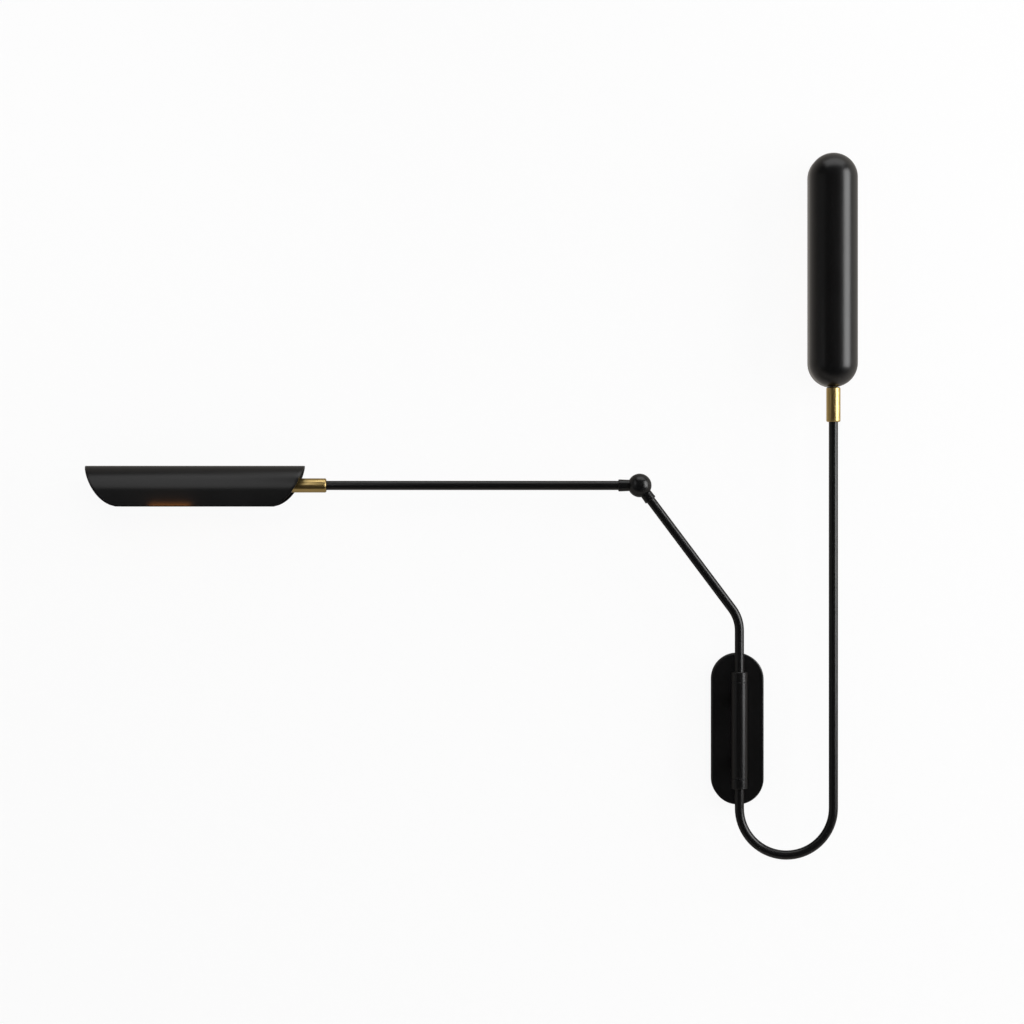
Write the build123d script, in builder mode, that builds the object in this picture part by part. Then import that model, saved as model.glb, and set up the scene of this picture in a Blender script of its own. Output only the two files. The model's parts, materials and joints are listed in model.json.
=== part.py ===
from build123d import *
import os
from math import asin, cos, pi, radians, sin, sqrt

# Articulating wall lamp with two heads on one vertical pivot barrel.
# Frame: origin at the centre of the wall face, wall surface at Y = 0, +Y into the wall, +Z up.
# Every arm tube lies in one plane, arm_standoff in front of the wall. Sizes in millimetres.

# ---- fits -------------------------------------------------------------------
running_gap = 0.3          # between faces that turn past each other
shaft_clearance = 0.05     # radial, a turning shaft in its hole
screw_clearance = 0.2      # radial, a screw or stud in a plain hole
seat_clearance = 0.05      # between a curved saddle and the tube that it sits on

# ---- arm tubes --------------------------------------------------------------
tube_d = 12.0
tube_wall = 1.0
arm_standoff = 50.0        # wall to the plane of the arm tubes
bend_height = 145.6        # corner of the upper arm above the origin
bend_angle = 36.85         # lean of the upper arm from the vertical, in degrees
bend_radius = 48.0
upper_run = 216.1          # corner of the upper arm to the elbow centre
forearm_reach = 407.4      # elbow centre to the mouth of the left ferrule
return_spread = 122.2      # pivot axis to the riser of the lower arm
return_drop = 100.9        # centre of the return bend below the origin
riser_height = 401.1       # mouth of the right ferrule above the origin

# ---- canopy and what it hides -----------------------------------------------
canopy_width = 68.0
canopy_height = 198.0
canopy_depth = 22.0
canopy_wall = 1.5
canopy_edge_radius = 2.0
strap_width = 36.0
strap_thickness = 2.0
strap_end_gap = 9.0        # end of the strap to the end of the canopy
strap_lug_depth = 13.0
strap_lug_width = 20.0
wall_hole_spacing = 150.0
wall_slot_width = 5.0
wall_slot_length = 12.0
cable_hole_d = 14.0
cable_hole_height = 58.0
lug_screw_d = 4.0
lug_screw_length = 12.0
lug_screw_depth = 7.5      # axis of the screws in front of the wall
driver_width = 36.0
driver_height = 64.0
driver_depth = 14.0
driver_corner = 2.0
terminal_width = 28.0
terminal_height = 14.0
terminal_depth = 11.0
terminal_end_gap = 32.0    # middle of the terminals to the end of the strap
terminal_ways = 3
terminal_screw_d = 4.0

# ---- pivot barrel -----------------------------------------------------------
barrel_d = 21.2
barrel_bore = 16.0
barrel_height = 123.4
bush_flange_d = 20.0
bush_flange = 1.0
bush_length = 15.0
collar_height = 12.8
collar_chamfer = 0.6
ring_d = 15.0
ring_thickness = 1.5
tube_tail = 5.0            # tube past its retaining ring
stud_spacing = 84.0
stud_d = 8.0
stud_bore = 5.0
stud_tail = 9.5            # stud inside the canopy
spacer_d = 14.0
washer_d = 16.0
washer_thickness = 1.5
nut_flats = 13.0
nut_height = 6.0
grub_d = 3.0
grub_length = 3.2

# ---- elbow ------------------------------------------------------------------
ball_d = 30.8
disc_d = 24.0
disc_thickness = 0.9
stem_root_d = 14.2
stem_mouth_d = 15.8
front_stem_reach = 27.7
rear_stem_reach = 24.0
stem_floor = 16.0          # ball centre to the end of the tube in either stem
stem_chamfer = 0.7
elbow_bolt_d = 6.0
elbow_head_d = 10.0
elbow_head_height = 6.0
elbow_key_flats = 5.0
elbow_key_depth = 3.0
elbow_head_sink = 2.0      # bolt head below the rear of the ball
elbow_spring_washer = 1.2
elbow_thread_depth = 9.0

# ---- ferrules and swivels ---------------------------------------------------
ferrule_d = 18.4
ferrule_length = 45.0
ferrule_socket = 15.0      # depth of the arm tube in a ferrule
ferrule_chamfer = 1.2
nipple_d = 10.0
nipple_bore = 7.0
swivel_washer_d = 14.0
swivel_washer = 1.0
swivel_nut_flats = 14.0
swivel_nut_height = 5.0
nipple_tail = 2.0          # nipple past its nut

# ---- shades -----------------------------------------------------------------
shade_radius = 31.7
shade_wall = 1.5
hood_length = 285.0        # along the crown
hood_overlap = 17.0        # hood crown past the end of the ferrule
hood_crown = 25.5          # crown above the swivel axis
hood_depth = 53.0
hood_end_sweep = 48.0      # how far the flat blank's rounded ends curve back
hood_blank_half_width = 71.5
hood_end_steps = 8
dome_length = 304.5
dome_skirt = 23.0          # straight wall behind the swivel axis

# ---- lamp inside each shade -------------------------------------------------
carrier_width = 24.0
carrier_thickness = 2.0
carrier_rise = 9.0         # swivel axis to the lamp side of the carrier
carrier_end_gap = 28.0     # free end of the carrier to the end of the shade
flange_width = 20.0
flange_drop = 9.0
seat_washer_d = 12.0
seat_washer_thickness = 5.0
shade_stud_d = 5.0
stud_end_gap = 40.0        # each stud to its end of the shade
shade_nut_flats = 8.0
shade_nut_height = 4.0
shade_stud_tail = 1.0
shade_spacer_d = 9.0
diffuser_width = 21.0
diffuser_drop = 14.0
diffuser_wall = 1.5
diffuser_gap = 8.5         # axis of a stud to the end of the diffuser
diffuser_edge_radius = 3.0
board_width = 16.0
board_thickness = 1.6
board_end_gap = 0.5
chip_size = 3.5
chip_height = 0.8
chip_count = 14

# ---- sizes that follow ------------------------------------------------------
tube_r = tube_d / 2
tube_bore_r = tube_r - tube_wall
barrel_r = barrel_d / 2
ball_r = ball_d / 2
nipple_r = nipple_d / 2
arm_plane = Plane.XZ.offset(arm_standoff)      # local x is X, local y is Z, facing the room
bush_seat = barrel_height / 2                  # end of the barrel tube
collar_start = bush_seat + bush_flange + running_gap
ring_start = bush_seat - bush_length - running_gap
tube_start = ring_start - ring_thickness - tube_tail
elbow_x = -upper_run * sin(radians(bend_angle))
elbow_z = bend_height + upper_run * cos(radians(bend_angle))
upper_stem_out = Vector(sin(radians(bend_angle)), 0, -cos(radians(bend_angle)))
elbow_centre = Vector(elbow_x, -arm_standoff, elbow_z)
split_half = disc_thickness / 2 + shaft_clearance
stud_spots = [(0, -stud_spacing / 2), (0, stud_spacing / 2)]
ends = (-1, 1)

left_mouth = elbow_centre + Vector(-forearm_reach, 0, 0)
right_mouth = Vector(return_spread, -arm_standoff, riser_height)
left_end = left_mouth + Vector(-ferrule_length, 0, 0)
right_end = right_mouth + Vector(0, 0, ferrule_length)

# A head's section plane stands at the end of its ferrule: z runs outwards along the swivel
# axis, y towards the crown of the shade and x across it. The side plane holds z and y.
left_section = Plane(left_end, x_dir=(0, -1, 0), z_dir=(-1, 0, 0))
right_section = Plane(right_end, x_dir=(-1, 0, 0), z_dir=(0, 0, 1))
left_side = Plane(left_end, x_dir=(-1, 0, 0), z_dir=(0, 1, 0))

os.makedirs("parts", exist_ok=True)


def save(piece, name):
    """Label a finished piece and write it under its own name."""
    piece.part.label = name
    export_step(piece.part, f"parts/{name}.step")


def sagitta(radius, half_chord):
    """Depth of an arc of the given radius over a chord."""
    return radius - sqrt(radius**2 - half_chord**2)


def across_corners(flats):
    """Radius of a hexagon over its corners."""
    return flats / 2 / cos(radians(30))


# ---- wall bracket -----------------------------------------------------------
strap_end = canopy_height / 2 - strap_end_gap

with BuildPart() as wall_bracket:
    with BuildSketch(Plane.XZ):
        Rectangle(strap_width, 2 * strap_end)
        with Locations((0, -wall_hole_spacing / 2), (0, wall_hole_spacing / 2)):
            SlotOverall(wall_slot_length, wall_slot_width, rotation=90, mode=Mode.SUBTRACT)
        with Locations((0, cable_hole_height)):
            Circle(cable_hole_d / 2, mode=Mode.SUBTRACT)
    extrude(amount=strap_thickness)
    with BuildSketch(Plane.XZ):
        with Locations(*[(0, end * (strap_end - strap_thickness / 2)) for end in ends]):
            Rectangle(strap_lug_width, strap_thickness)
    extrude(amount=strap_lug_depth)
    with Locations(Location((0, -lug_screw_depth, 0))):
        Cylinder(lug_screw_d / 2, 2 * canopy_height, mode=Mode.SUBTRACT)
save(wall_bracket, "wall_bracket")

# ---- canopy: a pressed cup with a stadium outline ---------------------------
with BuildPart() as canopy:
    with BuildSketch(Plane.XZ):
        SlotOverall(canopy_height, canopy_width, rotation=90)
    extrude(amount=canopy_depth)
    fillet(canopy.faces().sort_by(Axis.Y)[0].edges(), canopy_edge_radius)
    with BuildSketch(Plane.XZ):
        SlotOverall(canopy_height - 2 * canopy_wall, canopy_width - 2 * canopy_wall, rotation=90)
    extrude(amount=canopy_depth - canopy_wall, mode=Mode.SUBTRACT)
    with BuildSketch(Plane.XZ):
        with Locations(*stud_spots):
            Circle(stud_d / 2 + screw_clearance)
    extrude(amount=canopy_depth, mode=Mode.SUBTRACT)
    with Locations(Location((0, -lug_screw_depth, 0))):
        Cylinder(lug_screw_d / 2 + screw_clearance, 2 * canopy_height, mode=Mode.SUBTRACT)
save(canopy, "canopy")

with BuildPart() as canopy_screws:
    for end in ends:
        screw_top = Plane((0, -lug_screw_depth, end * canopy_height / 2), z_dir=(0, 0, -end))
        with BuildSketch(screw_top):
            Circle(lug_screw_d / 2)
        extrude(amount=lug_screw_length)
save(canopy_screws, "canopy_screws")

# ---- driver and terminals on the bracket ------------------------------------
strap_face = Plane.XZ.offset(strap_thickness)

with BuildPart() as led_driver:
    with BuildSketch(strap_face):
        RectangleRounded(driver_width, driver_height, driver_corner)
    extrude(amount=driver_depth)
save(led_driver, "led_driver")

terminal_middle = terminal_end_gap - strap_end

with BuildPart() as terminal_block:
    with BuildSketch(strap_face):
        with Locations((0, terminal_middle)):
            Rectangle(terminal_width, terminal_height)
    extrude(amount=terminal_depth)
    with BuildSketch(strap_face.offset(terminal_depth)):
        with Locations((0, terminal_middle)):
            with GridLocations(terminal_width / terminal_ways, terminal_height / 2, terminal_ways, 2):
                Circle(terminal_screw_d / 2)
    extrude(amount=-terminal_depth / 2, mode=Mode.SUBTRACT)
save(terminal_block, "terminal_block")

# ---- pivot barrel and its fixings -------------------------------------------
with BuildPart() as pivot_barrel:
    with BuildSketch(Plane((0, -arm_standoff, -bush_seat))):
        Circle(barrel_r)
        Circle(barrel_bore / 2, mode=Mode.SUBTRACT)
    extrude(amount=barrel_height)
    with BuildSketch(Plane.XZ):
        with Locations(*stud_spots):
            Circle(stud_d / 2)
    extrude(amount=arm_standoff, mode=Mode.SUBTRACT)
save(pivot_barrel, "pivot_barrel")

with BuildPart() as barrel_spacers:
    with BuildSketch(Plane.XZ.offset(canopy_depth)):
        with Locations(*stud_spots):
            Circle(spacer_d / 2)
            Circle(stud_d / 2, mode=Mode.SUBTRACT)
    extrude(amount=arm_standoff - canopy_depth)
    with Locations(Location((0, -arm_standoff, 0))):
        Cylinder(barrel_r + seat_clearance, canopy_height, mode=Mode.SUBTRACT)
save(barrel_spacers, "barrel_spacers")

stud_face = canopy_depth - canopy_wall - stud_tail   # stud end in front of the wall

with BuildPart() as barrel_studs:
    with BuildSketch(Plane.XZ.offset(stud_face)):
        with Locations(*stud_spots):
            Circle(stud_d / 2)
            Circle(stud_bore / 2, mode=Mode.SUBTRACT)
    extrude(amount=arm_standoff - barrel_bore / 2 - stud_face)
save(barrel_studs, "barrel_studs")

canopy_inside = Plane.XZ.offset(canopy_depth - canopy_wall)

with BuildPart() as barrel_washers:
    with BuildSketch(canopy_inside):
        with Locations(*stud_spots):
            Circle(washer_d / 2)
            Circle(stud_d / 2, mode=Mode.SUBTRACT)
    extrude(amount=-washer_thickness)
save(barrel_washers, "barrel_washers")

with BuildPart() as barrel_nuts:
    with BuildSketch(canopy_inside.offset(-washer_thickness)):
        with Locations(*stud_spots):
            RegularPolygon(across_corners(nut_flats), 6)
            Circle(stud_d / 2, mode=Mode.SUBTRACT)
    extrude(amount=-nut_height)
save(barrel_nuts, "barrel_nuts")


def barrel_level(end, height):
    """Section plane of the barrel at a height above its middle, facing out of that end."""
    return Plane((0, -arm_standoff, end * height), x_dir=(1, 0, 0), z_dir=(0, 0, end))


# ---- one bush, collar and retaining ring at each end of the barrel ----------
for end, name in ((1, "upper"), (-1, "lower")):
    with BuildPart() as bush:
        with BuildSketch(barrel_level(end, bush_seat)):
            Circle(barrel_bore / 2)
        extrude(amount=-bush_length)
        with BuildSketch(barrel_level(end, bush_seat)):
            Circle(bush_flange_d / 2)
        extrude(amount=bush_flange)
        with BuildSketch(barrel_level(end, bush_seat + bush_flange)):
            Circle(tube_r + shaft_clearance)
        extrude(amount=-bush_flange - bush_length, mode=Mode.SUBTRACT)
    save(bush, f"{name}_bush")

    with BuildPart() as collar:
        with BuildSketch(barrel_level(end, collar_start)):
            Circle(barrel_r)
        extrude(amount=collar_height)
        collar_top = collar.edges().filter_by(GeomType.CIRCLE).group_by(Axis.Z)[-1 if end > 0 else 0]
        chamfer(collar_top, collar_chamfer)
        with BuildSketch(barrel_level(end, collar_start)):
            Circle(tube_r)
        extrude(amount=collar_height, mode=Mode.SUBTRACT)
        with BuildSketch(arm_plane):
            with Locations((0, end * (collar_start + collar_height / 2))):
                Circle(grub_d / 2)
        extrude(amount=-barrel_d, mode=Mode.SUBTRACT)
    save(collar, f"{name}_collar")

    with BuildPart() as collar_screw:
        with BuildSketch(arm_plane.offset(-tube_r)):
            with Locations((0, end * (collar_start + collar_height / 2))):
                Circle(grub_d / 2)
        extrude(amount=-grub_length)
    save(collar_screw, f"{name}_collar_screw")

    with BuildPart() as ring:
        with BuildSketch(barrel_level(end, ring_start)):
            Circle(ring_d / 2)
            Circle(tube_r, mode=Mode.SUBTRACT)
        extrude(amount=-ring_thickness)
    save(ring, f"{name}_retaining_ring")


# ---- arm tubes --------------------------------------------------------------
def tube_section():
    """Ring section of an arm tube."""
    Circle(tube_r)
    Circle(tube_bore_r, mode=Mode.SUBTRACT)


upper_tube_end = elbow_centre + upper_stem_out * stem_floor

with BuildPart() as upper_arm_tube:
    with BuildLine(arm_plane) as upper_route:
        corner = (0, bend_height)
        FilletPolyline((0, tube_start), corner, (upper_tube_end.X, upper_tube_end.Z), radius=bend_radius)
    with BuildSketch(Plane((0, -arm_standoff, tube_start))):
        tube_section()
    sweep(path=upper_route.wire())
save(upper_arm_tube, "upper_arm_tube")

with BuildPart() as lower_arm_tube:
    with BuildLine(arm_plane) as lower_route:
        Line((0, -tube_start), (0, -return_drop))
        CenterArc((return_spread / 2, -return_drop), return_spread / 2, 180, 180)
        Line((return_spread, -return_drop), (return_spread, riser_height + ferrule_socket))
    with BuildSketch(Plane((0, -arm_standoff, -tube_start), z_dir=(0, 0, -1))):
        tube_section()
    sweep(path=lower_route.wire())
save(lower_arm_tube, "lower_arm_tube")

forearm_start = Plane(elbow_centre + Vector(-stem_floor, 0, 0), z_dir=(-1, 0, 0))

with BuildPart() as forearm_tube:
    with BuildSketch(forearm_start):
        tube_section()
    extrude(amount=forearm_reach + ferrule_socket - stem_floor)
save(forearm_tube, "forearm_tube")


# ---- elbow: a ball split on the plane of the arms ---------------------------
def ball_side(radius, flat, keep):
    """What a plane leaves of a ball about the elbow centre."""
    with BuildPart(mode=Mode.PRIVATE) as ball:
        with Locations(Location(elbow_centre)):
            Sphere(radius)
        split(bisect_by=flat, keep=keep)
    return ball.part


def knuckle(stem, reach, flat):
    """Half of the ball in front of the flat, with a full round stem that clears the other half."""
    add(ball_side(ball_r, flat, Keep.TOP))
    with BuildSketch(stem.offset(elbow_bolt_d)) as root:
        Circle(stem_root_d / 2)
    with BuildSketch(stem.offset(reach)) as mouth:
        Circle(stem_mouth_d / 2)
    loft(sections=[root.sketch, mouth.sketch])
    with BuildSketch(stem.offset(reach)) as socket:
        Circle(tube_r)
    extrude(socket.sketch, amount=stem_floor - reach, mode=Mode.SUBTRACT)
    add(ball_side(ball_r + running_gap, flat, Keep.BOTTOM), mode=Mode.SUBTRACT)


front_flat = Plane(elbow_centre + Vector(0, -split_half, 0), z_dir=(0, -1, 0))
rear_flat = Plane(elbow_centre + Vector(0, split_half, 0), z_dir=(0, 1, 0))
front_stem = Plane(elbow_centre, x_dir=(0, 1, 0), z_dir=(-1, 0, 0))
rear_stem = Plane(elbow_centre, x_dir=(0, 1, 0), z_dir=upper_stem_out)
elbow_axis = Plane(elbow_centre, x_dir=(1, 0, 0), z_dir=(0, 1, 0))     # towards the wall
head_seat = ball_r - elbow_head_sink - elbow_head_height

with BuildPart() as elbow_front_half:
    knuckle(front_stem, front_stem_reach, front_flat)
    front_mouth = elbow_front_half.faces().filter_by(Axis.X).sort_by(Axis.X)[0]
    chamfer(front_mouth.outer_wire().edges(), stem_chamfer)
    with BuildSketch(elbow_axis.offset(-split_half)):
        Circle(elbow_bolt_d / 2)
    extrude(amount=-elbow_thread_depth, mode=Mode.SUBTRACT)
save(elbow_front_half, "elbow_front_half")

with BuildPart() as elbow_rear_half:
    knuckle(rear_stem, rear_stem_reach, rear_flat)
    rear_mouth = elbow_rear_half.faces().filter_by(GeomType.PLANE).sort_by(Axis.Z)[0]
    chamfer(rear_mouth.outer_wire().edges(), stem_chamfer)
    with BuildSketch(elbow_axis):
        Circle(elbow_bolt_d / 2 + shaft_clearance)
    extrude(amount=ball_r, mode=Mode.SUBTRACT)
    with BuildSketch(elbow_axis.offset(head_seat - elbow_spring_washer - shaft_clearance)):
        Circle(elbow_head_d / 2 + running_gap)
    extrude(amount=ball_r, mode=Mode.SUBTRACT)
save(elbow_rear_half, "elbow_rear_half")

with BuildPart() as elbow_friction_disc:
    with BuildSketch(elbow_axis.offset(-split_half)):
        Circle(disc_d / 2)
        Circle(elbow_bolt_d / 2 + shaft_clearance, mode=Mode.SUBTRACT)
    extrude(amount=disc_thickness)
save(elbow_friction_disc, "elbow_friction_disc")

with BuildPart() as elbow_spring_ring:
    with BuildSketch(elbow_axis.offset(head_seat)):
        Circle(elbow_head_d / 2)
        Circle(elbow_bolt_d / 2, mode=Mode.SUBTRACT)
    extrude(amount=-elbow_spring_washer)
save(elbow_spring_ring, "elbow_spring_washer")

with BuildPart() as elbow_bolt:
    with BuildSketch(elbow_axis.offset(head_seat)):
        Circle(elbow_head_d / 2)
    extrude(amount=elbow_head_height)
    with BuildSketch(elbow_axis.offset(head_seat + elbow_head_height)):
        RegularPolygon(across_corners(elbow_key_flats), 6)
    extrude(amount=-elbow_key_depth, mode=Mode.SUBTRACT)
    with BuildSketch(elbow_axis.offset(head_seat)):
        Circle(elbow_bolt_d / 2)
    extrude(amount=-head_seat - split_half - elbow_thread_depth)
save(elbow_bolt, "elbow_bolt")

# ---- ferrules, nipples and swivel fixings -----------------------------------
shade_inner = shade_radius - shade_wall
dome_seat = running_gap + shade_wall + sagitta(shade_inner, seat_washer_d / 2)

# Each head: section plane, face of the carrier's flange, both ends and crown of the shade.
dome_flange = dome_seat + seat_washer_thickness
heads = {
    "left": (left_section, running_gap, -hood_overlap, hood_length - hood_overlap, hood_crown),
    "right": (right_section, dome_flange, running_gap, running_gap + dome_length, shade_radius),
}


def level(section, height):
    """Plane that faces the crown at a height above the swivel axis; x runs along the axis."""
    return Plane(section.origin + section.y_dir * height, x_dir=section.z_dir, z_dir=section.y_dir)


def stud_places(near_end, far_end):
    """Where the two weld studs of a shade stand along its carrier."""
    return [(near_end + stud_end_gap, 0), (far_end - stud_end_gap, 0)]


for side, (section, flange, near_end, far_end, crown) in heads.items():
    with BuildPart() as ferrule:
        with BuildSketch(section):
            Circle(ferrule_d / 2)
        extrude(amount=-ferrule_length)
        chamfer(ferrule.edges().filter_by(GeomType.CIRCLE), ferrule_chamfer)
        with BuildSketch(section):
            Circle(nipple_r)
        extrude(amount=-ferrule_length, mode=Mode.SUBTRACT)
        with BuildSketch(section.offset(-ferrule_length)):
            Circle(tube_r)
        extrude(amount=ferrule_socket, mode=Mode.SUBTRACT)
    save(ferrule, f"{side}_ferrule")

    washer_seat = flange + carrier_thickness + shaft_clearance
    nipple_length = washer_seat + swivel_washer + swivel_nut_height + nipple_tail

    with BuildPart() as nipple:
        with BuildSketch(section.offset(ferrule_socket - ferrule_length)):
            Circle(nipple_r)
            Circle(nipple_bore / 2, mode=Mode.SUBTRACT)
        extrude(amount=ferrule_length - ferrule_socket + nipple_length)
    save(nipple, f"{side}_nipple")

    with BuildPart() as swivel_ring:
        with BuildSketch(section.offset(washer_seat)):
            Circle(swivel_washer_d / 2)
            Circle(nipple_r, mode=Mode.SUBTRACT)
        extrude(amount=swivel_washer)
    save(swivel_ring, f"{side}_swivel_washer")

    with BuildPart() as swivel_nut:
        with BuildSketch(section.offset(washer_seat + swivel_washer)):
            RegularPolygon(across_corners(swivel_nut_flats), 6)
            Circle(nipple_r, mode=Mode.SUBTRACT)
        extrude(amount=swivel_nut_height)
    save(swivel_nut, f"{side}_swivel_nut")

    # ---- lamp: carrier, board, light chips and diffuser ---------------------
    studs = stud_places(near_end, far_end)
    carrier_end = far_end - carrier_end_gap

    with BuildPart() as carrier:
        with BuildSketch(level(section, carrier_rise)):
            with Locations(((flange + carrier_end) / 2, 0)):
                Rectangle(carrier_end - flange, carrier_width)
            with Locations(*studs):
                Circle(shade_stud_d / 2 + screw_clearance, mode=Mode.SUBTRACT)
        extrude(amount=carrier_thickness)
        with BuildSketch(section.offset(flange)):
            flange_height = flange_drop + carrier_rise + carrier_thickness
            with Locations((0, flange_height / 2 - flange_drop)):
                Rectangle(flange_width, flange_height)
            Circle(nipple_r + shaft_clearance, mode=Mode.SUBTRACT)
        extrude(amount=carrier_thickness)
    save(carrier, f"{side}_carrier")

    diffuser_length = far_end - near_end - 2 * (stud_end_gap + diffuser_gap)
    diffuser_middle = ((near_end + far_end) / 2, 0)
    board_length = diffuser_length - 2 * (diffuser_wall + board_end_gap)

    with BuildPart() as led_board:
        with BuildSketch(level(section, carrier_rise)):
            with Locations(diffuser_middle):
                Rectangle(board_length, board_width)
        extrude(amount=-board_thickness)
    save(led_board, f"{side}_led_board")

    with BuildPart() as led_chips:
        with BuildSketch(level(section, carrier_rise - board_thickness)):
            with Locations(diffuser_middle):
                with GridLocations(board_length / chip_count, 0, chip_count, 1):
                    Rectangle(chip_size, chip_size)
        extrude(amount=-chip_height)
    save(led_chips, f"{side}_led_chips")

    with BuildPart() as diffuser:
        with BuildSketch(level(section, carrier_rise)):
            with Locations(diffuser_middle):
                Rectangle(diffuser_length, diffuser_width)
        extrude(amount=-diffuser_drop)
        lens = diffuser.faces().sort_by(lambda face: face.center().dot(section.y_dir))[0]
        fillet(lens.edges(), diffuser_edge_radius)
        with BuildSketch(level(section, carrier_rise)):
            with Locations(diffuser_middle):
                Rectangle(diffuser_length - 2 * diffuser_wall, diffuser_width - 2 * diffuser_wall)
        extrude(amount=diffuser_wall - diffuser_drop, mode=Mode.SUBTRACT)
    save(diffuser, f"{side}_diffuser")

    # ---- spacers and nuts that hold the carrier to the shade's studs --------
    spacer_seat = crown - shade_wall - sagitta(shade_inner, shade_spacer_d / 2)

    with BuildPart() as shade_spacers:
        with BuildSketch(level(section, carrier_rise + carrier_thickness)):
            with Locations(*studs):
                Circle(shade_spacer_d / 2)
                Circle(shade_stud_d / 2 + screw_clearance, mode=Mode.SUBTRACT)
        extrude(amount=spacer_seat - carrier_rise - carrier_thickness)
    save(shade_spacers, f"{side}_shade_spacers")

    with BuildPart() as shade_nuts:
        with BuildSketch(level(section, carrier_rise)):
            with Locations(*studs):
                RegularPolygon(across_corners(shade_nut_flats), 6)
                Circle(shade_stud_d / 2, mode=Mode.SUBTRACT)
        extrude(amount=-shade_nut_height)
    save(shade_nuts, f"{side}_shade_nuts")

stud_foot = carrier_rise - shade_nut_height - shade_stud_tail

# ---- left shade: a rolled hood, its flat blank a strip with rounded ends ----
hood_arc_centre = hood_crown - shade_radius
hood_rim = hood_crown - hood_depth


def blank_depth(arc):
    """Depth below the crown of a point that lies this far round the rolled section."""
    quarter = shade_radius * pi / 2
    if arc < quarter:
        return shade_radius * (1 - cos(arc / shade_radius))
    return shade_radius + arc - quarter


rim_arc = shade_radius * pi / 2 + hood_depth - shade_radius
last_turn = asin(min(1, rim_arc / hood_blank_half_width))
end_turns = [last_turn * step / hood_end_steps for step in range(hood_end_steps + 1)]
end_curve = [
    (hood_end_sweep * (1 - cos(turn)), hood_crown - blank_depth(hood_blank_half_width * sin(turn)))
    for turn in end_turns
]

with BuildPart() as left_hood:
    with BuildSketch(left_section.offset(-hood_overlap)):
        with BuildLine():
            outer = CenterArc((0, hood_arc_centre), shade_radius, 0, 180)
            inner = CenterArc((0, hood_arc_centre), shade_inner, 0, 180)
            Polyline(outer @ 0, (shade_radius, hood_rim), (shade_inner, hood_rim), inner @ 0)
            Polyline(outer @ 1, (-shade_radius, hood_rim), (-shade_inner, hood_rim), inner @ 1)
        make_face()
    extrude(amount=hood_length)
    for start, way in ((-hood_overlap, 1), (hood_length - hood_overlap, -1)):
        with BuildSketch(left_side):
            with BuildLine():
                cut = Spline(*[(start + way * back, height) for back, height in end_curve])
                Polyline(
                    cut @ 1,
                    (start + way * (end_curve[-1][0]), hood_rim - shade_wall),
                    (start - way * shade_wall, hood_rim - shade_wall),
                    (start - way * shade_wall, hood_crown + shade_wall),
                    (start, hood_crown + shade_wall),
                    cut @ 0,
                )
            make_face()
        extrude(amount=2 * shade_radius, both=True, mode=Mode.SUBTRACT)
    with BuildSketch(level(left_section, stud_foot)):
        with Locations(*stud_places(-hood_overlap, hood_length - hood_overlap)):
            Circle(shade_stud_d / 2)
    extrude(amount=hood_crown - shade_wall / 2 - stud_foot)
save(left_hood, "left_hood")

# ---- right shade: a domed stadium shell with a straight skirt ---------------
with BuildPart() as right_shade:
    for inset, how in ((0, Mode.ADD), (shade_wall, Mode.SUBTRACT)):
        start = running_gap + inset
        length = dome_length - 2 * inset
        radius = shade_radius - inset
        with BuildSketch(level(right_section, 0)):
            with BuildLine():
                low = CenterArc((start + radius, 0), radius, 90, 90)
                high = CenterArc((start + length - radius, 0), radius, 0, 90)
                Line(high @ 1, low @ 0)
                Line(low @ 1, high @ 0)
            make_face()
        revolve(axis=Axis(right_end, right_section.z_dir), revolution_arc=180, mode=how)
        with BuildSketch(level(right_section, 0)):
            with Locations((start + length / 2, 0)):
                SlotOverall(length, 2 * radius)
        extrude(amount=-dome_skirt, mode=how)
    with BuildSketch(right_section):
        Circle(nipple_r + shaft_clearance)
    extrude(amount=dome_seat, mode=Mode.SUBTRACT)
    with BuildSketch(level(right_section, stud_foot)):
        with Locations(*stud_places(running_gap, running_gap + dome_length)):
            Circle(shade_stud_d / 2)
    extrude(amount=shade_radius - shade_wall / 2 - stud_foot)
save(right_shade, "right_shade")

with BuildPart() as right_seat_washer:
    with BuildSketch(right_section.offset(dome_seat)):
        Circle(seat_washer_d / 2)
        Circle(nipple_r + shaft_clearance, mode=Mode.SUBTRACT)
    extrude(amount=seat_washer_thickness)
save(right_seat_washer, "right_seat_washer")
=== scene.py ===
# %% [markdown]
# # An articulating wall lamp with two heads
#
# The CAD model gives every piece its size and place. This file dresses it: it keeps the CAD
# meshes whose shape is already right, makes finer ones with bmesh where the eye rests, and gives
# each piece the finish of the real one. Everything is in metres in the frame of the CAD model:
# the wall is the plane Y = 0, the room is on its -Y side and Z points up. Sizes of pieces are
# written in millimetres and multiplied by mm where Blender takes them.

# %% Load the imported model
import json
from math import atan2, cos, pi, radians, sin, sqrt, tan

import bmesh
import bpy
from mathutils import Matrix, Vector


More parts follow.
